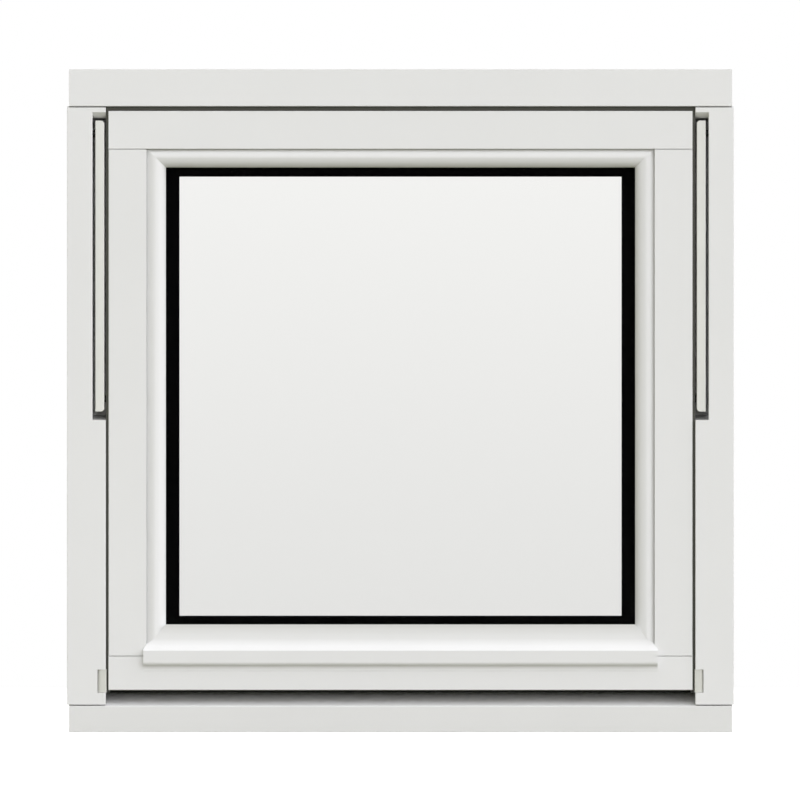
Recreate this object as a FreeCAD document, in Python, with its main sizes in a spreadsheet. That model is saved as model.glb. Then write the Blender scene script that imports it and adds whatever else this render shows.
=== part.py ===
"""Timber window with a reversible sash: parametric source of all its pieces.

Sizes are millimetres. X runs to the right seen from outside, Y runs into the
building and Z runs up. The frame's underside lies on Z = 0.
"""
import os
import re

import FreeCAD
import Part
import Sketcher

# Driving sizes
SIZES = {
    # frame
    "frame_width": 788.0,
    "frame_height": 788.0,
    "frame_depth": 115.0,
    "jamb_proud": 2.2,
    "jamb_face": 46.0,
    "head_face": 44.5,
    "sill_face": 31.0,
    "rebate_depth": 68.0,
    "stop_width": 16.0,
    "sill_stop_height": 12.0,
    "sill_clearance": 3.6,
    "frame_arris": 0.6,
    "rebate_arris": 1.0,
    "sill_lean": 2.2,
    "head_joint_gap": 1.35,
    "sill_joint_gap": 1.8,
    "frame_joint_depth": 10.0,
    "drip_groove_setback": 9.0,
    "drip_groove_width": 6.0,
    "drip_groove_depth": 5.0,
    # fixing screw holes through the jambs
    "fixing_setback": 92.0,
    "fixing_end": 150.0,
    "fixing_radius": 3.5,
    "fixing_head_radius": 7.5,
    "fixing_head_depth": 8.0,
    # gaps between frame and sash
    "side_gap": 3.3,
    "top_gap": 5.5,
    "bottom_gap": 19.0,
    "sash_inset": 2.0,
    # sash
    "sash_thickness": 62.0,
    "stile_face": 45.0,
    "top_rail_face": 45.0,
    "bottom_rail_face": 40.0,
    "bottom_sight": 78.0,
    "glazing_fall": 14.0,
    "sash_arris": 1.0,
    "bead_joint_arris": 0.4,
    "sash_joint_gap": 0.9,
    "sash_joint_depth": 3.0,
    "lip_bevel": 8.0,
    # glazing
    "pane_thickness": 4.0,
    "cavity": 16.0,
    "tape_thickness": 3.0,
    "tape_width": 12.0,
    "tape_recess": 1.0,
    "glass_clearance": 5.0,
    "setting_block_height": 6.0,
    "setting_block_length": 40.0,
    "setting_block_end": 90.0,
    "spacer_side_show": 16.0,
    "spacer_top_show": 10.8,
    "spacer_bottom_show": 10.2,
    "spacer_edge_inset": 1.0,
    # glazing beads
    "bead_thickness": 13.0,
    "side_bead_width": 23.1,
    "top_bead_width": 22.0,
    "bead_crest": 11.0,
    "bead_crest_drop": 2.0,
    "bead_quirk": 6.0,
    "bead_shoulder": 11.0,
    "bead_face_radius": 15.4,
    "bead_back_radius": 12.0,
    "bead_foot_drop": 23.4,
    "bead_knee_drop": 17.6,
    "bead_knee_in": 8.6,
    # drip bead under the glass
    "drip_top_depth": 0.7,
    "cove_turn_depth": 2.3,
    "cove_turn_height": 60.6,
    "cove_top_radius": 48.0,
    "cove_radius": 17.5,
    "nose_proud": 5.2,
    "nose_lean": 0.2,
    "nose_top": 47.0,
    "nose_bottom": 30.3,
    "nose_bevel_height": 2.4,
    "nose_bevel_depth": 0.9,
    "nose_over": 3.8,
    "nose_slant": 7.0,
    "nose_arris": 0.9,
    "throat_setback": 3.4,
    "throat_radius": 9.0,
    "throat_foot": 22.7,
    "throat_edge": 0.3,
    # weather seal behind the sash and strip in the gap round it
    "seal_width": 8.0,
    "seal_inset": 1.5,
    "seal_lift": 0.2,
    "strip_inset": 3.0,
    "strip_depth": 4.5,
    "strip_clearance": 0.3,
    # side arms and the slots that take them
    "slot_drop": 6.7,
    "slot_length": 366.0,
    "slot_width": 15.8,
    "slot_depth": 44.0,
    "slot_round_depth": 16.0,
    "slot_round_height": 7.4,
    "slot_round_radius": 20.0,
    "slot_ramp": 6.0,
    "slot_end_depth": 9.0,
    "slot_arris": 1.0,
    "arm_thickness": 10.6,
    "arm_depth": 24.0,
    "arm_side_gap": 3.4,
    "arm_end_gap": 10.2,
    "arm_inset": 1.5,
    "arm_arris": 1.0,
    "arm_corner": 2.5,
    "pin_radius": 4.0,
    "pin_setback": 18.0,
    "pin_clearance": 0.2,
    "pin_reach": 10.0,
    "pin_end": 15.0,
    # guide blocks low on the jambs
    "block_width": 9.7,
    "block_height": 27.4,
    "block_depth": 34.0,
    "block_rise": 16.0,
    "block_inset": 0.6,
    "block_gap": 0.25,
    "block_step": 0.8,
    "block_arris": 1.0,
    "block_round": 4.0,
    # inside handle
    "handle_rise": 44.0,
    "rose_length": 66.0,
    "rose_height": 28.0,
    "rose_thickness": 9.0,
    "rose_arris": 2.0,
    "hub_radius": 7.5,
    "lever_gap": 17.0,
    "lever_length": 118.0,
    "lever_height": 17.0,
    "lever_thickness": 10.0,
    "lever_arris": 3.0,
}

# Sizes that follow from the driving ones. Frame pieces measure Y from the
# frame's outer face, sash pieces from the sash's outer face and bottom edge.
FORMULAS = {
    "half_width": "frame_width / 2 + jamb_proud",
    "jamb_inner": "half_width - jamb_face",
    "stop_inner": "jamb_inner - stop_width",
    "head_under": "frame_height - head_face",
    "stop_under": "head_under - stop_width",
    "sash_bottom": "sill_face + bottom_gap",
    "wash_top": "sash_bottom - sill_clearance",
    "wash_fall": "(wash_top - sill_face) / rebate_depth",
    "sill_stop_top": "sash_bottom + sill_stop_height",
    "fixing_top": "frame_height - fixing_end",
    "sash_half": "jamb_inner - side_gap",
    "sash_height": "head_under - top_gap - sash_bottom",
    "seal_thickness": "rebate_depth - sash_inset - sash_thickness",
    "stile_wall": "sash_half - stile_face",
    "sight_half": "stile_wall - side_bead_width",
    "top_wall": "sash_height - top_rail_face",
    "sight_top": "top_wall - top_bead_width",
    "pane_front": "bead_thickness + tape_thickness",
    "cavity_front": "pane_front + pane_thickness",
    "inner_pane_front": "cavity_front + cavity",
    "inner_tape_front": "inner_pane_front + pane_thickness",
    "lip_front": "inner_tape_front + tape_thickness",
    "glazing_floor": "bottom_rail_face + glazing_fall",
    "floor_slope": "glazing_fall / lip_front",
    "glass_half": "stile_wall - glass_clearance",
    "glass_top": "top_wall - glass_clearance",
    "glass_bottom": "glazing_floor + setting_block_height",
    "side_mitre_foot": "bottom_sight - side_bead_width",
    "bead_foot": "bottom_sight - bead_foot_drop",
    "bead_knee": "bottom_sight - bead_knee_drop",
    "bead_ridge": "stile_wall - bead_knee_in",
    "seal_bottom": "seal_lift - sill_clearance",
    "strip_half": "jamb_inner - strip_clearance",
    "strip_top": "head_under - sash_bottom - strip_clearance",
    "strip_notch": "block_top - sash_bottom + strip_clearance",
    "nose_half": "stile_wall + nose_over",
    "nose_edge": "nose_bottom + nose_bevel_height",
    "slot_top": "head_under - slot_drop",
    "slot_bottom": "slot_top - slot_length",
    "slot_wall": "jamb_inner + slot_width",
    "arm_outer": "slot_wall - arm_side_gap",
    "arm_inner": "arm_outer - arm_thickness",
    "arm_top": "slot_top - arm_end_gap",
    "arm_bottom": "slot_bottom + arm_end_gap",
    "jamb_pin_height": "arm_top - pin_end",
    "sash_pin_height": "arm_bottom + pin_end",
    "hole_radius": "pin_radius + pin_clearance",
    "block_bottom": "sill_face + block_rise",
    "block_top": "block_bottom + block_height",
    "handle_reach": "rose_thickness + lever_gap",
}

SHEET_NAME = "Sizes"
SIDES = (("left", -1), ("right", 1))

doc = FreeCAD.newDocument("window")
sheet = doc.addObject("Spreadsheet::Sheet", SHEET_NAME)
pieces = []


def fill_sheet():
    """Write every driving size to the sheet under its own name."""
    for row, (name, size) in enumerate(SIZES.items(), start=1):
        sheet.set("A%d" % row, name)
        sheet.set("B%d" % row, str(size))
        sheet.setAlias("B%d" % row, name)
    doc.recompute()


def bind(formula):
    """Turn a formula in plain names into an expression on the sheet's cells."""
    def expand(match):
        word = match.group(0)
        if word in FORMULAS:
            return "(" + bind(FORMULAS[word]) + ")"
        if word in SIZES:
            return SHEET_NAME + "." + word
        return word
    return re.sub(r"[a-z_]+", expand, str(formula))


def value(formula):
    """Give the number that a formula has at present."""
    return float(sheet.evalExpression(bind(formula)))


def signed(sign, formula):
    """Give a formula for the left (-1) or the right (+1) side."""
    return "%d * (%s)" % (sign, formula)


# Sketches and features
def new_body(name):
    body = doc.addObject("PartDesign::Body", name)
    body.Label = name
    pieces.append(body)
    return body


def place(body, x="0", y="0", z="0"):
    """Set a piece's own placement from three formulas."""
    for axis, formula in (("x", x), ("y", y), ("z", z)):
        body.setExpression("Placement.Base." + axis, bind(formula))


def place_on_frame(body):
    place(body, y="-frame_depth / 2")


def place_on_sash(body):
    place(body, y="sash_inset - frame_depth / 2", z="sash_bottom")


def new_sketch(body, name, plane, offset="0"):
    """Attach a sketch to one of the body's own planes, moved along its normal."""
    sketch = body.newObject("Sketcher::SketchObject", name)
    support = [item for item in body.Origin.OriginFeatures if item.Role == plane][0]
    sketch.AttachmentSupport = [(support, "")]
    sketch.MapMode = "FlatFace"
    sketch.setExpression("AttachmentOffset.Base.z", bind(offset))
    return sketch


def bind_constraint(sketch, constraint, formula):
    index = sketch.addConstraint(constraint)
    sketch.setExpression("Constraints[%d]" % index, bind(formula))


def fix_point(sketch, geometry, position, x, y):
    """Hold one point of a sketch at two formulas from its origin."""
    along = Sketcher.Constraint("DistanceX", -1, 1, geometry, position, value(x))
    bind_constraint(sketch, along, x)
    across = Sketcher.Constraint("DistanceY", -1, 1, geometry, position, value(y))
    bind_constraint(sketch, across, y)


def arc_middle(start, end, radius, bulge):
    """Find an arc's middle; a bulge of +1 lies left of the way from start to end."""
    chord = end - start
    half = chord.Length / 2
    rise = radius - (radius ** 2 - half ** 2) ** 0.5
    left = FreeCAD.Vector(-chord.y, chord.x, 0)
    left.normalize()
    return (start + end) * 0.5 + left * (rise * bulge)


def draw_outline(sketch, points):
    """Draw a closed outline; a point with a radius and a bulge starts an arc."""
    corners = [FreeCAD.Vector(value(point[0]), value(point[1]), 0) for point in points]
    ends = []
    for number, point in enumerate(points):
        start = corners[number]
        end = corners[(number + 1) % len(points)]
        if len(point) == 2:
            geometry = sketch.addGeometry(Part.LineSegment(start, end))
            ends.append((geometry, 1, 2))
            continue
        middle = arc_middle(start, end, value(point[2]), point[3])
        geometry = sketch.addGeometry(Part.Arc(start, middle, end))
        forward = sketch.getPoint(geometry, 1).distanceToPoint(start) < 1e-6
        ends.append((geometry, 1, 2) if forward else (geometry, 2, 1))
        bind_constraint(sketch, Sketcher.Constraint("Radius", geometry, value(point[2])), point[2])
    for number, (geometry, start, end) in enumerate(ends):
        following = ends[(number + 1) % len(ends)]
        sketch.addConstraint(Sketcher.Constraint("Coincident", geometry, end, following[0], following[1]))
        fix_point(sketch, geometry, start, points[number][0], points[number][1])


def draw_box(sketch, left, low, right, high):
    draw_outline(sketch, [(left, low), (right, low), (right, high), (left, high)])


def draw_circle(sketch, x, y, radius):
    circle = Part.Circle(FreeCAD.Vector(value(x), value(y), 0), FreeCAD.Vector(0, 0, 1), value(radius))
    geometry = sketch.addGeometry(circle)
    fix_point(sketch, geometry, 3, x, y)
    bind_constraint(sketch, Sketcher.Constraint("Radius", geometry, value(radius)), radius)


def add_pad(body, name, sketch, length, symmetric=False, reverse=False):
    pad = body.newObject("PartDesign::Pad", name)
    pad.Profile = sketch
    pad.setExpression("Length", bind(length))
    pad.SideType = "Symmetric" if symmetric else "One side"
    pad.Reversed = reverse
    doc.recompute()
    return pad


def add_pocket(body, name, sketch, length, reverse=False):
    """Cut a sketch out of a body to a depth, against the sketch's normal."""
    pocket = body.newObject("PartDesign::Pocket", name)
    pocket.Profile = sketch
    pocket.setExpression("Length", bind(length))
    pocket.Reversed = reverse
    return finish_cut(body, pocket)


def add_through_cut(body, name, sketch):
    """Cut a sketch out of a body both ways."""
    pocket = body.newObject("PartDesign::Pocket", name)
    pocket.Profile = sketch
    pocket.Type = "ThroughAll"
    pocket.SideType = "Symmetric"
    return finish_cut(body, pocket)


def finish_cut(body, pocket):
    before = pocket.BaseFeature.Shape.Volume
    doc.recompute()
    if not body.Shape.Volume < before - 1e-3:
        raise RuntimeError(body.Label + ": " + pocket.Name + " cuts nothing")
    return pocket


def edges_along(body, axis, lines):
    """Name the straight edges along an axis that lie at given places across it."""
    across = [number for number in range(3) if number != "xyz".index(axis)]
    wanted = [(value(first), value(second)) for first, second in lines]
    shape = body.Tip.Shape
    names = []
    for number, edge in enumerate(shape.Edges, start=1):
        if len(edge.Vertexes) != 2 or edge.Curve.TypeId != "Part::GeomLine":
            continue
        start, end = (vertex.Point for vertex in edge.Vertexes)
        for first, second in wanted:
            near = all(abs(point[across[0]] - first) < 1e-4 and abs(point[across[1]] - second) < 1e-4
                       for point in (start, end))
            if near:
                names.append("Edge%d" % number)
    if not names:
        raise RuntimeError(body.Label + ": no edge found along " + axis)
    return names


def add_round(body, name, axis, lines, radius):
    base = body.Tip
    names = edges_along(body, axis, lines)
    fillet = body.newObject("PartDesign::Fillet", name)
    fillet.Base = (base, names)
    fillet.setExpression("Radius", bind(radius))
    doc.recompute()
    return fillet


def add_bevel(body, name, axis, lines, size):
    base = body.Tip
    names = edges_along(body, axis, lines)
    chamfer = body.newObject("PartDesign::Chamfer", name)
    chamfer.Base = (base, names)
    chamfer.setExpression("Size", bind(size))
    doc.recompute()
    return chamfer


# Frame
def make_head():
    body = new_body("frame_head")
    place_on_frame(body)
    section = new_sketch(body, "head_section", "YZ_Plane")
    draw_outline(section, [
        ("0", "head_under"),
        ("rebate_depth", "head_under"),
        ("rebate_depth", "stop_under"),
        ("frame_depth", "stop_under"),
        ("frame_depth", "frame_height"),
        ("0", "frame_height"),
    ])
    add_pad(body, "head_length", section, "frame_width", symmetric=True)
    add_round(body, "head_arris", "x", [("0", "frame_height")], "frame_arris")
    edges = [("0", "head_under"), ("frame_depth", "stop_under")]
    add_round(body, "head_rebate_arris", "x", edges, "rebate_arris")


def make_sill():
    """Sill with a leaning front, a sloped wash, an upstand and a drip groove below."""
    body = new_body("frame_sill")
    place_on_frame(body)
    section = new_sketch(body, "sill_section", "YZ_Plane")
    groove_end = "drip_groove_setback + drip_groove_width"
    draw_outline(section, [
        ("sill_lean", "0"),
        ("drip_groove_setback", "0"),
        ("drip_groove_setback", "drip_groove_depth"),
        (groove_end, "drip_groove_depth"),
        (groove_end, "0"),
        ("frame_depth", "0"),
        ("frame_depth", "sill_stop_top"),
        ("rebate_depth", "sill_stop_top"),
        ("rebate_depth", "wash_top"),
        ("0", "sill_face"),
    ])
    add_pad(body, "sill_length", section, "frame_width", symmetric=True)
    edges = [("0", "sill_face"), ("sill_lean", "0")]
    add_round(body, "sill_arris", "x", edges, "frame_arris")
    add_round(body, "sill_stop_arris", "x", [("frame_depth", "sill_stop_top")], "rebate_arris")


def make_jamb(side, sign):
    """Jamb scribed to head and sill, with arm slot, block housing and fixing holes."""
    body = new_body("frame_jamb_" + side)
    place_on_frame(body)
    outer, inner, stop = (signed(sign, name) for name in ("half_width", "jamb_inner", "stop_inner"))
    section = new_sketch(body, "jamb_section_" + side, "XY_Plane", "sill_face")
    draw_outline(section, [
        (outer, "0"),
        (inner, "0"),
        (inner, "rebate_depth"),
        (stop, "rebate_depth"),
        (stop, "frame_depth"),
        (outer, "frame_depth"),
    ])
    add_pad(body, "jamb_length_" + side, section, "head_under - sill_face")
    add_round(body, "jamb_arris_" + side, "z", [(outer, "0")], "frame_arris")
    edges = [(inner, "0"), (stop, "frame_depth")]
    add_round(body, "jamb_rebate_arris_" + side, "z", edges, "rebate_arris")
    cut_jamb_ends(body, side)
    cut_arm_slot(body, side, sign)
    cut_block_housing(body, side, sign)
    cut_fixing_holes(body, side, sign)


def cut_jamb_ends(body, side):
    """Scribe the jamb to the sill and head, leaving a narrow open joint in front."""
    ends = new_sketch(body, "jamb_ends_" + side, "YZ_Plane")
    groove_foot = "sill_face + frame_joint_depth * wash_fall"
    draw_outline(ends, [
        ("0", "sill_face"),
        ("0", "sill_face + sill_joint_gap"),
        ("frame_joint_depth", groove_foot + " + sill_joint_gap"),
        ("frame_joint_depth", groove_foot),
        ("rebate_depth", "wash_top"),
        ("rebate_depth", "sill_stop_top"),
        ("frame_depth", "sill_stop_top"),
        ("frame_depth", "sill_face"),
    ])
    draw_box(ends, "0", "head_under - head_joint_gap", "frame_joint_depth", "head_under")
    draw_box(ends, "rebate_depth", "stop_under", "frame_depth", "head_under")
    add_through_cut(body, "jamb_scribe_" + side, ends)


def cut_arm_slot(body, side, sign):
    """Slot with a rounded top and a sloped foot along the jamb's inner front edge, and the pin hole."""
    slot = new_sketch(body, "slot_side_" + side, "YZ_Plane", signed(sign, "jamb_inner"))
    draw_outline(slot, [
        ("0", "slot_top", "slot_round_radius", -1),
        ("slot_round_depth", "slot_top - slot_round_height"),
        ("slot_depth", "slot_top - slot_round_height"),
        ("slot_depth", "slot_bottom + slot_ramp"),
        ("slot_end_depth", "slot_bottom"),
        ("0", "slot_bottom"),
    ])
    add_pocket(body, "arm_slot_" + side, slot, "slot_width", reverse=sign > 0)
    add_round(body, "slot_arris_" + side, "z", [(signed(sign, "slot_wall"), "0")], "slot_arris")
    hole = new_sketch(body, "jamb_pin_circle_" + side, "YZ_Plane", signed(sign, "slot_wall"))
    draw_circle(hole, "pin_setback", "jamb_pin_height", "hole_radius")
    add_pocket(body, "jamb_pin_hole_" + side, hole, "pin_reach", reverse=sign > 0)


def cut_block_housing(body, side, sign):
    housing = new_sketch(body, "housing_side_" + side, "YZ_Plane", signed(sign, "jamb_inner"))
    draw_box(housing, "0", "block_bottom", "block_inset + block_depth", "block_top")
    add_pocket(body, "block_housing_" + side, housing, "block_width", reverse=sign > 0)


def cut_fixing_holes(body, side, sign):
    """Two fixing screw holes with sunk heads on the inside of the frame."""
    heads = new_sketch(body, "fixing_heads_" + side, "YZ_Plane", signed(sign, "stop_inner"))
    holes = new_sketch(body, "fixing_holes_" + side, "YZ_Plane")
    for height in ("fixing_end", "fixing_top"):
        draw_circle(heads, "fixing_setback", height, "fixing_head_radius")
        draw_circle(holes, "fixing_setback", height, "fixing_radius")
    add_pocket(body, "fixing_head_cut_" + side, heads, "fixing_head_depth", reverse=sign > 0)
    add_through_cut(body, "fixing_hole_cut_" + side, holes)


# Sash
def make_top_rail():
    body = new_body("sash_top_rail")
    place_on_sash(body)
    front = new_sketch(body, "top_rail_front", "XZ_Plane")
    draw_outline(front, [
        ("-(sash_half)", "sash_height"),
        ("-(sash_half)", "top_wall"),
        ("-(stile_wall)", "top_wall"),
        ("-(sight_half)", "sight_top"),
        ("sight_half", "sight_top"),
        ("stile_wall", "top_wall"),
        ("sash_half", "top_wall"),
        ("sash_half", "sash_height"),
    ])
    add_pad(body, "top_rail_body", front, "sash_thickness", reverse=True)
    rebate = new_sketch(body, "top_rail_rebate", "YZ_Plane")
    draw_box(rebate, "0", "sight_top", "lip_front", "top_wall")
    add_through_cut(body, "top_rail_rebate_cut", rebate)
    add_bevel(body, "top_rail_bevel", "x", [("sash_thickness", "sight_top")], "lip_bevel")
    edges = [("0", "sash_height"), ("sash_thickness", "sash_height")]
    add_round(body, "top_rail_arris", "x", edges, "sash_arris")
    add_round(body, "top_rail_joint_arris", "x", [("0", "top_wall")], "bead_joint_arris")


def make_bottom_rail():
    """Bottom rail with a draining glazing floor and a lip behind the glass."""
    body = new_body("sash_bottom_rail")
    place_on_sash(body)
    front = new_sketch(body, "bottom_rail_front", "XZ_Plane")
    draw_outline(front, [
        ("-(sash_half)", "0"),
        ("sash_half", "0"),
        ("sash_half", "bottom_rail_face"),
        ("stile_wall", "bottom_rail_face"),
        ("stile_wall", "side_mitre_foot"),
        ("sight_half", "bottom_sight"),
        ("-(sight_half)", "bottom_sight"),
        ("-(stile_wall)", "side_mitre_foot"),
        ("-(stile_wall)", "bottom_rail_face"),
        ("-(sash_half)", "bottom_rail_face"),
    ])
    add_pad(body, "bottom_rail_body", front, "sash_thickness", reverse=True)
    rebate = new_sketch(body, "bottom_rail_rebate", "YZ_Plane")
    draw_outline(rebate, [
        ("0", "bottom_rail_face"),
        ("lip_front", "glazing_floor"),
        ("lip_front", "bottom_sight"),
        ("0", "bottom_sight"),
    ])
    add_through_cut(body, "bottom_rail_rebate_cut", rebate)
    add_bevel(body, "bottom_rail_bevel", "x", [("sash_thickness", "bottom_sight")], "lip_bevel")
    edges = [("0", "0"), ("sash_thickness", "0")]
    add_round(body, "bottom_rail_arris", "x", edges, "sash_arris")


def make_stile(side, sign):
    """Stile between the rails, its inner lip mitred to theirs."""
    body = new_body("sash_stile_" + side)
    place_on_sash(body)
    outer, wall, sight = (signed(sign, name) for name in ("sash_half", "stile_wall", "sight_half"))
    front = new_sketch(body, "stile_front_" + side, "XZ_Plane")
    draw_outline(front, [
        (outer, "bottom_rail_face"),
        (wall, "bottom_rail_face"),
        (wall, "side_mitre_foot"),
        (sight, "bottom_sight"),
        (sight, "sight_top"),
        (wall, "top_wall"),
        (outer, "top_wall"),
    ])
    add_pad(body, "stile_body_" + side, front, "sash_thickness", reverse=True)
    rebate = new_sketch(body, "stile_rebate_" + side, "XY_Plane")
    draw_box(rebate, wall, "0", sight, "lip_front")
    add_through_cut(body, "stile_rebate_cut_" + side, rebate)
    add_bevel(body, "stile_bevel_" + side, "z", [(sight, "sash_thickness")], "lip_bevel")
    edges = [(outer, "0"), (outer, "sash_thickness")]
    add_round(body, "stile_arris_" + side, "z", edges, "sash_arris")
    add_round(body, "stile_joint_arris_" + side, "z", [(wall, "0")], "bead_joint_arris")
    joints = new_sketch(body, "stile_joints_" + side, "XZ_Plane")
    draw_box(joints, outer, "bottom_rail_face", wall, "bottom_rail_face + sash_joint_gap")
    draw_box(joints, outer, "top_wall - sash_joint_gap", wall, "top_wall")
    add_pocket(body, "stile_joint_cut_" + side, joints, "sash_joint_depth")
    hole = new_sketch(body, "sash_pin_circle_" + side, "YZ_Plane", outer)
    draw_circle(hole, "pin_setback - sash_inset", "sash_pin_height - sash_bottom", "hole_radius")
    add_pocket(body, "sash_pin_hole_" + side, hole, "pin_reach", reverse=sign < 0)


# Glazing beads
def bead_profile(wall, width, crest, toward, bulge):
    """Moulded bead outline from its wall to the sight line, as wall + toward * distance."""
    def across(distance):
        return "%s + %d * (%s)" % (wall, toward, distance)
    return [
        (across("0"), "bead_thickness"),
        (across(width), "bead_thickness"),
        (across(width), "bead_shoulder", "bead_face_radius", bulge),
        (across(crest), "bead_crest_drop", "bead_back_radius", bulge),
        (across("0"), "bead_quirk"),
    ]


def make_side_bead(side, sign):
    body = new_body("glazing_bead_" + side)
    place_on_sash(body)
    wall, ridge, sight = (signed(sign, name) for name in ("stile_wall", "bead_ridge", "sight_half"))
    section = new_sketch(body, "bead_section_" + side, "XY_Plane", "bead_foot")
    draw_outline(section, bead_profile(wall, "side_bead_width", "bead_crest", -sign, -sign))
    add_pad(body, "bead_length_" + side, section, "top_wall - bead_foot")
    mitres = new_sketch(body, "bead_mitres_" + side, "XZ_Plane")
    draw_outline(mitres, [
        (wall, "bead_foot"),
        (ridge, "bead_knee"),
        (sight, "bottom_sight"),
        (sight, "bead_foot"),
    ])
    draw_outline(mitres, [(wall, "top_wall"), (sight, "sight_top"), (sight, "top_wall")])
    add_through_cut(body, "bead_mitre_cut_" + side, mitres)


def make_top_bead():
    body = new_body("glazing_bead_top")
    place_on_sash(body)
    section = new_sketch(body, "top_bead_section", "YZ_Plane")
    crest = "bead_crest * top_bead_width / side_bead_width"
    outline = bead_profile("top_wall", "top_bead_width", crest, -1, 1)
    turned = [(point[1], point[0]) + tuple(point[2:]) for point in outline]
    draw_outline(section, turned)
    add_pad(body, "top_bead_length", section, "2 * (stile_wall)", symmetric=True)
    mitres = new_sketch(body, "top_bead_mitres", "XZ_Plane")
    for _, sign in SIDES:
        wall, sight = (signed(sign, name) for name in ("stile_wall", "sight_half"))
        draw_outline(mitres, [(wall, "top_wall"), (wall, "sight_top"), (sight, "sight_top")])
    add_through_cut(body, "top_bead_mitre_cut", mitres)


def make_drip_bead():
    """Coved bead under the glass; its nose and the hollow below it shed water over the bottom rail."""
    body = new_body("glazing_bead_drip")
    place_on_sash(body)
    section = new_sketch(body, "drip_section", "YZ_Plane")
    draw_outline(section, [
        ("bead_thickness", "bottom_sight"),
        ("drip_top_depth", "bottom_sight", "cove_top_radius", 1),
        ("cove_turn_depth", "cove_turn_height", "cove_radius", 1),
        ("-(nose_proud)", "nose_top"),
        ("nose_lean - nose_proud", "nose_edge"),
        ("nose_lean + nose_bevel_depth - nose_proud", "nose_bottom"),
        ("throat_setback - nose_proud", "nose_bottom", "throat_radius", 1),
        ("-(throat_edge)", "throat_foot + throat_edge"),
        ("0", "throat_foot"),
        ("0", "bottom_rail_face"),
        ("bead_thickness", "bottom_rail_face + bead_thickness * floor_slope"),
    ])
    add_pad(body, "drip_length", section, "2 * (nose_half)", symmetric=True)
    add_round(body, "drip_arris", "x", [("-(nose_proud)", "nose_top")], "nose_arris")
    ends = new_sketch(body, "drip_ends", "XZ_Plane")
    mitres = new_sketch(body, "drip_mitres", "XZ_Plane")
    for _, sign in SIDES:
        wall, ridge, sight = (signed(sign, name) for name in ("stile_wall", "bead_ridge", "sight_half"))
        tip = signed(sign, "nose_half")
        draw_box(ends, wall, "nose_bottom", tip, "bottom_sight")
        draw_outline(mitres, [
            (sight, "bottom_sight"),
            (ridge, "bead_knee"),
            (wall, "bead_foot"),
            (tip, "bead_foot - nose_slant"),
            (tip, "bottom_sight"),
        ])
    add_pocket(body, "drip_end_cut", ends, "bead_thickness")
    add_through_cut(body, "drip_mitre_cut", mitres)


# Glass unit, tapes and seals
def make_ring(name, y, thickness, outer, inner):
    """Flat rectangular ring; outer and inner are half width, low edge and high edge."""
    body = new_body(name)
    place_on_sash(body)
    front = new_sketch(body, name + "_front", "XZ_Plane", "-(%s)" % y)
    for half, low, high in (outer, inner):
        draw_box(front, "-(%s)" % half, low, half, high)
    add_pad(body, name + "_body", front, thickness, reverse=True)


def make_pane(name, y):
    pane = doc.addObject("Part::Box", name)
    pane.Label = name
    pieces.append(pane)
    pane.setExpression("Length", bind("2 * (glass_half)"))
    pane.setExpression("Width", bind("pane_thickness"))
    pane.setExpression("Height", bind("glass_top - glass_bottom"))
    pane.setExpression("Placement.Base.x", bind("-(glass_half)"))
    pane.setExpression("Placement.Base.y", bind("sash_inset - frame_depth / 2 + " + y))
    pane.setExpression("Placement.Base.z", bind("sash_bottom + glass_bottom"))
    doc.recompute()


def make_glass_unit():
    make_pane("outer_pane", "pane_front")
    make_pane("inner_pane", "inner_pane_front")
    make_ring("edge_spacer", "cavity_front", "cavity",
              ("glass_half - spacer_edge_inset", "glass_bottom + spacer_edge_inset",
               "glass_top - spacer_edge_inset"),
              ("sight_half - spacer_side_show", "bottom_sight + spacer_bottom_show",
               "sight_top - spacer_top_show"))


def make_tapes():
    inner = ("sight_half + tape_recess", "bottom_sight - tape_recess", "sight_top + tape_recess")
    outer = ("%s + tape_width" % inner[0], "%s - tape_width" % inner[1], "%s + tape_width" % inner[2])
    make_ring("outer_glazing_tape", "bead_thickness", "tape_thickness", outer, inner)
    make_ring("inner_glazing_tape", "inner_tape_front", "tape_thickness", outer, inner)


def make_weather_seal():
    """Seal behind the sash; its foot hangs down to the sill's wash."""
    outer = ("sash_half - seal_inset", "seal_bottom", "sash_height - seal_inset")
    inner = ("%s - seal_width" % outer[0], "%s + seal_width" % outer[1], "%s - seal_width" % outer[2])
    make_ring("weather_seal", "sash_thickness", "seal_thickness", outer, inner)


def make_gap_strip():
    """Strip on the sash's edge that closes the gap at the top and both sides."""
    body = new_body("gap_strip")
    place_on_sash(body)
    front = new_sketch(body, "gap_strip_front", "XZ_Plane", "-(strip_inset)")
    narrow = "strip_half - block_step"
    draw_outline(front, [
        ("-(%s)" % narrow, "0"),
        ("-(sash_half)", "0"),
        ("-(sash_half)", "sash_height"),
        ("sash_half", "sash_height"),
        ("sash_half", "0"),
        (narrow, "0"),
        (narrow, "strip_notch"),
        ("strip_half", "strip_notch"),
        ("strip_half", "strip_top"),
        ("-(strip_half)", "strip_top"),
        ("-(strip_half)", "strip_notch"),
        ("-(%s)" % narrow, "strip_notch"),
    ])
    add_pad(body, "gap_strip_body", front, "strip_depth", reverse=True)


def make_setting_block(side, sign):
    """Wedge that carries the glass level on the draining floor."""
    body = new_body("setting_block_" + side)
    place(body, signed(sign, "glass_half - setting_block_end"), "sash_inset - frame_depth / 2", "sash_bottom")
    section = new_sketch(body, "setting_section_" + side, "YZ_Plane")
    draw_outline(section, [
        ("pane_front", "bottom_rail_face + floor_slope * pane_front"),
        ("inner_tape_front", "bottom_rail_face + floor_slope * inner_tape_front"),
        ("inner_tape_front", "glass_bottom"),
        ("pane_front", "glass_bottom"),
    ])
    add_pad(body, "setting_length_" + side, section, "setting_block_length", symmetric=True)


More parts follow.
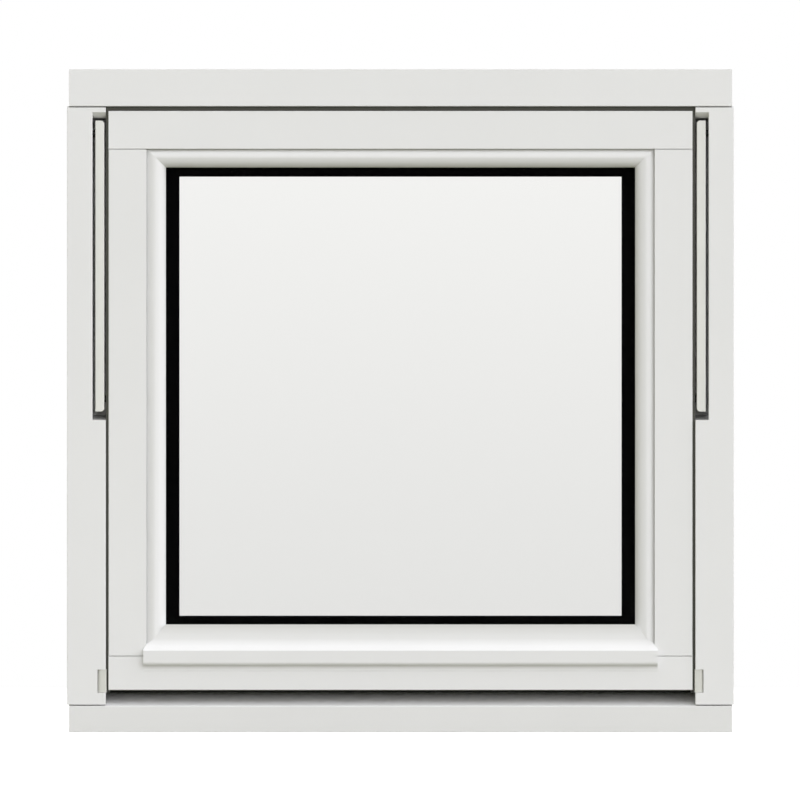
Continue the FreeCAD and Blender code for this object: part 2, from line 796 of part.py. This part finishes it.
# Side arms and guide blocks
def make_arm(side, sign):
    """Flat arm on edge, with a pin into the jamb above and into the sash below."""
    body = new_body("side_arm_" + side)
    place_on_frame(body)
    outer, inner = (signed(sign, name) for name in ("arm_outer", "arm_inner"))
    front = new_sketch(body, "arm_front_" + side, "XZ_Plane", "-(arm_inset)")
    inside = signed(sign, "arm_inner + arm_corner")
    draw_outline(front, [
        (outer, "arm_bottom"),
        (inside, "arm_bottom"),
        (inner, "arm_bottom + arm_corner"),
        (inner, "arm_top - arm_corner"),
        (inside, "arm_top"),
        (outer, "arm_top"),
    ])
    add_pad(body, "arm_bar_" + side, front, "arm_depth", reverse=True)
    edges = [(outer, "arm_inset"), (inner, "arm_inset")]
    add_round(body, "arm_arris_" + side, "z", edges, "arm_arris")
    jamb_pin = new_sketch(body, "jamb_pin_" + side, "YZ_Plane", outer)
    draw_circle(jamb_pin, "pin_setback", "jamb_pin_height", "pin_radius")
    add_pad(body, "jamb_pin_pad_" + side, jamb_pin, "arm_side_gap + pin_reach", reverse=sign < 0)
    sash_pin = new_sketch(body, "sash_pin_" + side, "YZ_Plane", inner)
    draw_circle(sash_pin, "pin_setback", "sash_pin_height", "pin_radius")
    add_pad(body, "sash_pin_pad_" + side, sash_pin, "arm_inner - sash_half + pin_reach", reverse=sign > 0)


def make_guide_block(side, sign):
    """Block let into the jamb that centres the sash as it closes."""
    body = new_body("guide_block_" + side)
    place_on_frame(body)
    outer = signed(sign, "jamb_inner + block_width - block_gap")
    inner = signed(sign, "jamb_inner - block_step")
    front = new_sketch(body, "block_front_" + side, "XZ_Plane", "-(block_inset)")
    draw_box(front, outer, "block_bottom + block_gap", inner, "block_top")
    add_pad(body, "block_body_" + side, front, "block_depth", reverse=True)
    add_round(body, "block_arris_" + side, "z", [(inner, "block_inset")], "block_arris")
    add_round(body, "block_round_" + side, "z", [(outer, "block_inset")], "block_round")


# Inside handle
def make_handle_rose():
    body = new_body("handle_rose")
    place(body, "0", "sash_inset + sash_thickness - frame_depth / 2", "sash_bottom + handle_rise")
    front = new_sketch(body, "rose_front", "XZ_Plane")
    straight = "(rose_length - rose_height) / 2"
    draw_outline(front, [
        ("-(%s)" % straight, "-rose_height / 2"),
        (straight, "-rose_height / 2", "rose_height / 2", -1),
        (straight + " + rose_height / 2", "0", "rose_height / 2", -1),
        (straight, "rose_height / 2"),
        ("-(%s)" % straight, "rose_height / 2", "rose_height / 2", -1),
        ("-(%s) - rose_height / 2" % straight, "0", "rose_height / 2", -1),
    ])
    add_pad(body, "rose_body", front, "rose_thickness", reverse=True)
    edges = [("rose_thickness", "rose_height / 2"), ("rose_thickness", "-rose_height / 2")]
    add_round(body, "rose_arris_round", "x", edges, "rose_arris")


def make_handle_lever():
    """Lever on a round hub, lying level along the rail when the sash is shut."""
    body = new_body("handle_lever")
    place(body, "0", "sash_inset + sash_thickness - frame_depth / 2", "sash_bottom + handle_rise")
    hub = new_sketch(body, "hub_circle", "XZ_Plane", "-(rose_thickness)")
    draw_circle(hub, "0", "0", "hub_radius")
    add_pad(body, "hub_body", hub, "lever_gap", reverse=True)
    bar = new_sketch(body, "lever_front", "XZ_Plane", "-(handle_reach)")
    half = "lever_height / 2"
    draw_outline(bar, [
        ("0", "-lever_height / 2"),
        ("lever_length - lever_height / 2", "-lever_height / 2", half, -1),
        ("lever_length", "0", half, -1),
        ("lever_length - lever_height / 2", half),
        ("0", half, half, -1),
        ("-lever_height / 2", "0", half, -1),
    ])
    add_pad(body, "lever_body", bar, "lever_thickness", reverse=True)
    front = "handle_reach + lever_thickness"
    edges = [(front, half), (front, "-lever_height / 2")]
    add_round(body, "lever_arris_round", "x", edges, "lever_arris")


def build_window():
    fill_sheet()
    make_head()
    make_sill()
    make_top_rail()
    make_bottom_rail()
    make_top_bead()
    make_drip_bead()
    make_glass_unit()
    make_tapes()
    make_weather_seal()
    make_gap_strip()
    for side, sign in SIDES:
        make_jamb(side, sign)
        make_stile(side, sign)
        make_side_bead(side, sign)
        make_setting_block(side, sign)
        make_arm(side, sign)
        make_guide_block(side, sign)
    make_handle_rose()
    make_handle_lever()


def check_pieces():
    """Stop before anything is written if a feature failed or a shape is unsound."""
    for item in doc.Objects:
        if "Invalid" in item.State or "Error" in item.State:
            raise RuntimeError(item.Label + " is in error")
    for piece in pieces:
        if piece.Shape.isNull() or not piece.Shape.isValid() or not piece.Shape.Solids:
            raise RuntimeError(piece.Label + " has no sound solid")


def write_pieces():
    os.makedirs("parts", exist_ok=True)
    for piece in pieces:
        piece.Shape.exportStep("parts/%s.step" % piece.Label)


build_window()
doc.recompute()
check_pieces()
write_pieces()
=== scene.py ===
"""Looks of the reversible timber window: materials, light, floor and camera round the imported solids."""
import math

import bpy
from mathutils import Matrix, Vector


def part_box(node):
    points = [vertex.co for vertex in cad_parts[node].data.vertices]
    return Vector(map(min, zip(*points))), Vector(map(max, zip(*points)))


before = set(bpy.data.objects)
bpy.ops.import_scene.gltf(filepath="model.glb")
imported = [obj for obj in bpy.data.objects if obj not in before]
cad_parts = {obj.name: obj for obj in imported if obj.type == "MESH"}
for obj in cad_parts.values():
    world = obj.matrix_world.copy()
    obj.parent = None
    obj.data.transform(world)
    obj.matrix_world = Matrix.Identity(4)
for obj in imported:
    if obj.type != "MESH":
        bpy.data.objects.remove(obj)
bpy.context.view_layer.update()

# Colours, written in sRGB
PAINT = (226, 226, 225)
ARM_COAT = (220, 220, 215)
# Dark colour painted on the side arms' pins as the shade they sit in inside the jamb slot
PIN_PAINTED_SHADE = (46, 46, 44)
GREY_PLASTIC = (209, 209, 202)
BLACK_SPACER = (3, 3, 3)
DARK_SEAL = (58, 58, 54)
GAP_STRIP = (78, 78, 72)
SATIN_METAL = (196, 196, 193)
# Pane colours at top and foot: the greying towards the foot is painted shade, standing in for a graded
# reflection
GLASS_TOP = (249, 249, 248)
GLASS_BOTTOM = (240, 240, 239)
FLOOR = (250, 250, 250)

# White and black as linear colours
WHITE = (1.0, 1.0, 1.0, 1.0)
BLACK = (0.0, 0.0, 0.0, 1.0)

# Paint on timber: waves per metre, heights in metres, shares of the base colour
GRAIN_WAVES = 420.0
GRAIN_DETAIL = 4.0
GRAIN_STRETCH = 0.03
GRAIN_HEIGHT = 0.00006
PAINT_PEEL_WAVES = 900.0
PAINT_PEEL_DETAIL = 1.0
PAINT_PEEL_HEIGHT = 0.00003
PAINT_BUMP = 0.5
PAINT_CLOUD_WAVES = 9.0
PAINT_SHADES = (0.992, 1.008)
PAINT_ROUGHNESS = (0.32, 0.46)
PAINT_SHEEN = 0.4

# Coats and moulded plastics
COAT_CLOUD_WAVES = 30.0
COAT_SHADES = (0.975, 1.02)
COAT_PEEL_SIZE = 0.0006
COAT_PEEL_HEIGHT = 0.00004
COAT_BUMP = 0.6
COAT_SHEEN = 0.3
COAT_ROUGHNESS_SPREAD = 0.06
ARM_ROUGHNESS = 0.4
PLASTIC_ROUGHNESS = 0.55
SPACER_ROUGHNESS = 0.6
SPACER_SHEEN = 0.1
STRIP_ROUGHNESS = 0.7
SEAL_ROUGHNESS = 0.75

# Satin metal with fine lines
METAL_WAVES = 2500.0
METAL_STRETCH = (0.02, 1.0, 1.0)
METAL_SHADES = (0.93, 1.04)
METAL_ROUGHNESS = (0.30, 0.44)
METAL_LINE_HEIGHT = 0.00002
METAL_BUMP = 0.5

# Noise shared by the finishes
FINE_DETAIL = 2.0
NOISE_ROUGHNESS = 0.55
NOISE_LOW = 0.3
NOISE_HIGH = 0.7

# Glass that bends and mirrors little, so that the white behind it shows evenly
GLASS_BENDING = 1.08

# The side arm's bar, and how far its upper pin stands out into the jamb, in metres
ARM_THICKNESS = 0.0106
ARM_PIN_LENGTH = 0.0134
ARM_COAT_EDGE = 0.0002

# Framing of the picture: a level view from far off, a little off the object's centre
PICTURE_PIXELS = 800
METRES_PER_PIXEL = 0.788 / 663.3
CENTRE_PIXEL = (400.5, 400.55)
CAMERA_DISTANCE = 40.0
CAMERA_REACH = 160.0
SENSOR = 36.0

# Lamps: angles in degrees, azimuth turning from straight in front to the right
KEY = {
    "colour": (0.882, 0.882, 1.0),
    "strength": 3.47,
    "azimuth": 42.0,
    "elevation": 29.5,
    "softness": 105.0,
}
SIDE = {
    "colour": (1.0, 1.0, 1.0),
    "strength": 0.6,
    "azimuth": 82.0,
    "elevation": 12.0,
    "softness": 40.0,
}
FILL = {
    "colour": (0.85, 0.85, 1.0),
    "strength": 1.88,
    "azimuth": 215.0,
    "elevation": 3.0,
    "softness": 25.0,
}

# Sky and floor
SKY = (1.0, 1.0, 0.86, 1.0)
SKY_STRENGTH = 0.605
FLOOR_REACH = 60.0
FLOOR_BEHIND = 6.0
FLOOR_BOUNCE = (0.25, 0.25, 0.18, 1.0)
FLOOR_GLOW = (0.35, 0.35, 0.35, 1.0)
BEFORE_FIRST_SCATTER = 0.5


def linear_channel(channel):
    """Turn one sRGB channel of 0 to 255 into a linear one by the sRGB curve."""
    share = channel / 255
    if share <= 0.04045:
        return share / 12.92
    return ((share + 0.055) / 1.055) ** 2.4


def linear(colour):
    """Turn an sRGB colour of 0 to 255 into a linear RGBA one."""
    return tuple(linear_channel(channel) for channel in colour) + (1.0,)


def shade(colour, factor):
    """Make a linear colour lighter or darker."""
    return tuple(channel * factor for channel in colour[:3]) + (1.0,)


def new_material(name):
    """Start a node material and give back it, its tree and its main shader."""
    material = bpy.data.materials.new(name)
    material.use_nodes = True
    tree = material.node_tree
    return material, tree, tree.nodes["Principled BSDF"]


def object_noise(tree, waves, stretch=(1, 1, 1), detail=FINE_DETAIL):
    """Noise in the object's own metres, stretched along its axes."""
    place = tree.nodes.new("ShaderNodeTexCoord")
    mapping = tree.nodes.new("ShaderNodeMapping")
    mapping.inputs["Scale"].default_value = stretch
    noise = tree.nodes.new("ShaderNodeTexNoise")
    noise.inputs["Scale"].default_value = waves
    noise.inputs["Detail"].default_value = detail
    noise.inputs["Roughness"].default_value = NOISE_ROUGHNESS
    tree.links.new(place.outputs["Object"], mapping.inputs["Vector"])
    tree.links.new(mapping.outputs["Vector"], noise.inputs["Vector"])
    return noise.outputs["Fac"]


def object_place(tree, axis):
    """One coordinate in the object's own metres."""
    place = tree.nodes.new("ShaderNodeTexCoord")
    parts = tree.nodes.new("ShaderNodeSeparateXYZ")
    tree.links.new(place.outputs["Object"], parts.inputs["Vector"])
    return parts.outputs[axis]


def ramp(tree, factor, low, high, start=0.0, end=1.0):
    """Blend between two colours over part of a factor's range."""
    node = tree.nodes.new("ShaderNodeValToRGB")
    node.color_ramp.elements[0].position = start
    node.color_ramp.elements[0].color = low
    node.color_ramp.elements[1].position = end
    node.color_ramp.elements[1].color = high
    tree.links.new(factor, node.inputs["Fac"])
    return node.outputs["Color"]


def clouded(tree, noise, base, shades):
    """Vary a base colour between two shades of it over the middle of a noise's range."""
    darker, lighter = shades
    return ramp(tree, noise, shade(base, darker), shade(base, lighter), NOISE_LOW, NOISE_HIGH)


def spread(tree, factor, limits):
    """Stretch a factor of 0 to 1 over a range of numbers."""
    node = tree.nodes.new("ShaderNodeMapRange")
    node.inputs["To Min"].default_value = limits[0]
    node.inputs["To Max"].default_value = limits[1]
    tree.links.new(factor, node.inputs["Value"])
    return node.outputs["Result"]


def calculate(tree, operation, first, second=None):
    """One sum on a socket and, if given, a second socket or number."""
    node = tree.nodes.new("ShaderNodeMath")
    node.operation = operation
    tree.links.new(first, node.inputs[0])
    if isinstance(second, bpy.types.NodeSocket):
        tree.links.new(second, node.inputs[1])
    elif second is not None:
        node.inputs[1].default_value = second
    return node.outputs["Value"]


def bump(tree, height, distance, strength, below=None):
    """Bump of a height in metres, laid over another one if given."""
    node = tree.nodes.new("ShaderNodeBump")
    node.inputs["Distance"].default_value = distance
    node.inputs["Strength"].default_value = strength
    tree.links.new(height, node.inputs["Height"])
    if below:
        tree.links.new(below, node.inputs["Normal"])
    return node.outputs["Normal"]


def mix_shaders(tree, factor, first, second, output):
    """Mix two shaders by a factor and make the result the tree's surface."""
    mix = tree.nodes.new("ShaderNodeMixShader")
    tree.links.new(factor, mix.inputs["Fac"])
    tree.links.new(first, mix.inputs[1])
    tree.links.new(second, mix.inputs[2])
    tree.links.new(mix.outputs["Shader"], tree.nodes[output].inputs["Surface"])


def painted_timber(name, along):
    """Satin paint over timber: faint grain along the member and fine paint texture."""
    material, tree, shader = new_material(name)
    stretch = tuple(GRAIN_STRETCH if axis == along else 1.0 for axis in "xyz")
    grain = object_noise(tree, GRAIN_WAVES, stretch, GRAIN_DETAIL)
    peel = object_noise(tree, PAINT_PEEL_WAVES, detail=PAINT_PEEL_DETAIL)
    colour = clouded(tree, object_noise(tree, PAINT_CLOUD_WAVES), linear(PAINT), PAINT_SHADES)
    skin = bump(tree, peel, PAINT_PEEL_HEIGHT, PAINT_BUMP)
    surface = bump(tree, grain, GRAIN_HEIGHT, PAINT_BUMP, below=skin)
    tree.links.new(colour, shader.inputs["Base Color"])
    tree.links.new(spread(tree, grain, PAINT_ROUGHNESS), shader.inputs["Roughness"])
    tree.links.new(surface, shader.inputs["Normal"])
    shader.inputs["Specular IOR Level"].default_value = PAINT_SHEEN
    return material


def coated(name, colour, roughness, sheen=COAT_SHEEN):
    """Even coat or moulded plastic with a fine surface and slight variation."""
    material, tree, shader = new_material(name)
    peel = object_noise(tree, 1 / COAT_PEEL_SIZE)
    limits = (roughness - COAT_ROUGHNESS_SPREAD, roughness + COAT_ROUGHNESS_SPREAD)
    varied = clouded(tree, object_noise(tree, COAT_CLOUD_WAVES), linear(colour), COAT_SHADES)
    tree.links.new(varied, shader.inputs["Base Color"])
    tree.links.new(spread(tree, peel, limits), shader.inputs["Roughness"])
    tree.links.new(bump(tree, peel, COAT_PEEL_HEIGHT, COAT_BUMP), shader.inputs["Normal"])
    shader.inputs["Specular IOR Level"].default_value = sheen
    return material


def arm_coat_and_painted_pin_shade(name):
    """Coated bar whose pins are painted dark as the shade they sit in inside the jamb slot, told apart by
    the distance from the window's middle.
    """
    material = coated(name, ARM_COAT, ARM_ROUGHNESS)
    tree = material.node_tree
    shader = tree.nodes["Principled BSDF"]
    coat = shader.inputs["Base Color"].links[0].from_socket
    pin_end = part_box("side_arm_right")[1].x
    bar_middle = pin_end - ARM_PIN_LENGTH - ARM_THICKNESS / 2
    bar_half = ARM_THICKNESS / 2 + ARM_COAT_EDGE
    across = calculate(tree, "ABSOLUTE", object_place(tree, "X"))
    off_middle = calculate(tree, "ABSOLUTE", calculate(tree, "SUBTRACT", across, bar_middle))
    on_pin = calculate(tree, "GREATER_THAN", off_middle, bar_half)
    # The pins take the painted shade colour in place of the coat
    mix = tree.nodes.new("ShaderNodeMix")
    mix.data_type = "RGBA"
    tree.links.new(on_pin, mix.inputs["Factor"])
    tree.links.new(coat, mix.inputs["A"])
    mix.inputs["B"].default_value = linear(PIN_PAINTED_SHADE)
    tree.links.new(mix.outputs["Result"], shader.inputs["Base Color"])
    return material


def satin_metal(name):
    """Satin aluminium with fine lines along its length."""
    material, tree, shader = new_material(name)
    lines = object_noise(tree, METAL_WAVES, METAL_STRETCH)
    colour = clouded(tree, lines, linear(SATIN_METAL), METAL_SHADES)
    tree.links.new(colour, shader.inputs["Base Color"])
    tree.links.new(spread(tree, lines, METAL_ROUGHNESS), shader.inputs["Roughness"])
    tree.links.new(bump(tree, lines, METAL_LINE_HEIGHT, METAL_BUMP), shader.inputs["Normal"])
    shader.inputs["Metallic"].default_value = 1.0
    return material


def pane_tint_and_painted_shade(tree):
    """Tint of the panes with painted shade: lighter at the top and a little greyer towards their foot,
    standing in for a graded reflection.
    """
    low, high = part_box("outer_pane")
    height = tree.nodes.new("ShaderNodeMapRange")
    height.inputs["From Min"].default_value = low.z
    height.inputs["From Max"].default_value = high.z
    tree.links.new(object_place(tree, "Z"), height.inputs["Value"])
    return ramp(tree, height.outputs["Result"], linear(GLASS_BOTTOM), linear(GLASS_TOP))


def pane_glass(name):
    """Clear float glass that lets lamp light and scattered light straight through."""
    material, tree, shader = new_material(name)
    # The panes' colour carries the painted shade that greys them towards their foot
    tint_and_painted_shade = pane_tint_and_painted_shade(tree)
    tree.links.new(tint_and_painted_shade, shader.inputs["Base Color"])
    shader.inputs["Transmission Weight"].default_value = 1.0
    shader.inputs["Roughness"].default_value = 0.0
    shader.inputs["IOR"].default_value = GLASS_BENDING
    path = tree.nodes.new("ShaderNodeLightPath")
    light = calculate(tree, "MAXIMUM", path.outputs["Is Shadow Ray"], path.outputs["Is Diffuse Ray"])
    clear = tree.nodes.new("ShaderNodeBsdfTransparent")
    tree.links.new(tint_and_painted_shade, clear.inputs["Color"])
    mix_shaders(tree, light, shader.outputs["BSDF"], clear.outputs["BSDF"], "Material Output")
    return material


def choose_looks():
    """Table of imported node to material."""
    paint_x = painted_timber("paint_along_x", "x")
    paint_z = painted_timber("paint_along_z", "z")
    glass = pane_glass("pane_glass")
    black = coated("black_edge_spacer", BLACK_SPACER, SPACER_ROUGHNESS, sheen=SPACER_SHEEN)
    seal = coated("dark_sealing_strip", DARK_SEAL, SEAL_ROUGHNESS)
    strip = coated("grey_gap_strip", GAP_STRIP, STRIP_ROUGHNESS)
    plastic = coated("light_grey_plastic", GREY_PLASTIC, PLASTIC_ROUGHNESS)
    arm = arm_coat_and_painted_pin_shade("light_grey_arm_coat_and_pin_shade")
    metal = satin_metal("satin_aluminium")
    looks = {
        "frame_head": paint_x,
        "frame_sill": paint_x,
        "sash_top_rail": paint_x,
        "sash_bottom_rail": paint_x,
        "glazing_bead_top": paint_x,
        "glazing_bead_drip": paint_x,
        "outer_pane": glass,
        "inner_pane": glass,
        "edge_spacer": black,
        "outer_glazing_tape": seal,
        "inner_glazing_tape": seal,
        "weather_seal": seal,
        "gap_strip": strip,
        "handle_rose": metal,
        "handle_lever": metal,
    }
    for side in ("left", "right"):
        looks["frame_jamb_" + side] = paint_z
        looks["sash_stile_" + side] = paint_z
        looks["glazing_bead_" + side] = paint_z
        looks["side_arm_" + side] = arm
        looks["guide_block_" + side] = plastic
        looks["setting_block_" + side] = plastic
    return looks


def dress_nodes():
    """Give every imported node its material."""
    looks = choose_looks()
    for name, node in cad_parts.items():
        node.data.materials.clear()
        node.data.materials.append(looks[name])


def seen_directly(tree):
    """One for camera, mirror and see-through rays that no matt surface has scattered, zero for the rest."""
    path = tree.nodes.new("ShaderNodeLightPath")
    total = path.outputs["Is Camera Ray"]
    for name in ("Is Glossy Ray", "Is Transmission Ray"):
        total = calculate(tree, "MAXIMUM", total, path.outputs[name])
    unscattered = calculate(tree, "LESS_THAN", path.outputs["Diffuse Depth"], BEFORE_FIRST_SCATTER)
    return calculate(tree, "MULTIPLY", total, unscattered)


def lamp_direction(values):
    """Direction from the object towards a lamp."""
    azimuth = math.radians(values["azimuth"])
    elevation = math.radians(values["elevation"])
    level = math.cos(elevation)
    return Vector((math.sin(azimuth) * level, -math.cos(azimuth) * level, math.sin(elevation)))


def hang_lamp(name, values):
    """Soft far lamp that isn't seen in mirror reflections or through the glass."""
    lamp = bpy.data.lights.new(name, "SUN")
    lamp.color = values["colour"]
    lamp.energy = values["strength"]
    lamp.angle = math.radians(values["softness"])
    holder = bpy.data.objects.new(name, lamp)
    holder.visible_glossy = False
    holder.visible_transmission = False
    holder.rotation_mode = "QUATERNION"
    holder.rotation_quaternion = lamp_direction(values).to_track_quat("Z", "Y")
    bpy.context.scene.collection.objects.link(holder)


def light_scene():
    """White background, dim even sky light and the lamps."""
    world = bpy.data.worlds.new("studio")
    bpy.context.scene.world = world
    world.use_nodes = True
    tree = world.node_tree
    sky = tree.nodes["Background"]
    sky.inputs["Strength"].default_value = SKY_STRENGTH
    sky.inputs["Color"].default_value = SKY
    white = tree.nodes.new("ShaderNodeBackground")
    white.inputs["Color"].default_value = WHITE
    direct = seen_directly(tree)
    mix_shaders(tree, direct, sky.outputs["Background"], white.outputs["Background"], "World Output")
    hang_lamp("key", KEY)
    hang_lamp("side", SIDE)
    hang_lamp("fill", FILL)


def pale_floor():
    """Floor finish that shows white and keeps shadows, and throws little light back up."""
    material, tree, shader = new_material("pale_floor")
    direct = seen_directly(tree)
    colour = ramp(tree, direct, FLOOR_BOUNCE, linear(FLOOR))
    glow = ramp(tree, direct, BLACK, FLOOR_GLOW)
    tree.links.new(colour, shader.inputs["Base Color"])
    tree.links.new(glow, shader.inputs["Emission Color"])
    shader.inputs["Emission Strength"].default_value = 1.0
    shader.inputs["Roughness"].default_value = 1.0
    shader.inputs["Specular IOR Level"].default_value = 0.0
    return material


def lay_floor():
    """Level floor, short behind the object so that it doesn't show through the glass."""
    corners = [
        (-FLOOR_REACH, -FLOOR_REACH, 0),
        (FLOOR_REACH, -FLOOR_REACH, 0),
        (FLOOR_REACH, FLOOR_BEHIND, 0),
        (-FLOOR_REACH, FLOOR_BEHIND, 0),
    ]
    mesh = bpy.data.meshes.new("floor")
    mesh.from_pydata(corners, [], [(0, 1, 2, 3)])
    mesh.materials.append(pale_floor())
    floor = bpy.data.objects.new("floor", mesh)
    bpy.context.scene.collection.objects.link(floor)


def set_camera():
    """Level camera straight in front of the window."""
    camera = bpy.data.cameras.new("camera")
    camera.sensor_width = SENSOR
    camera.lens = SENSOR * CAMERA_DISTANCE / (PICTURE_PIXELS * METRES_PER_PIXEL)
    camera.clip_end = CAMERA_REACH
    head_low, head_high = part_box("frame_head")
    middle = PICTURE_PIXELS / 2
    eye = bpy.data.objects.new("camera", camera)
    eye.location = (
        (middle - CENTRE_PIXEL[0]) * METRES_PER_PIXEL,
        head_low.y - CAMERA_DISTANCE,
        head_high.z / 2 + (CENTRE_PIXEL[1] - middle) * METRES_PER_PIXEL,
    )
    eye.rotation_euler = (math.pi / 2, 0, 0)
    bpy.context.scene.collection.objects.link(eye)
    bpy.context.scene.camera = eye


dress_nodes()
light_scene()
lay_floor()
set_camera()
bpy.context.scene.view_settings.view_transform = "Standard"
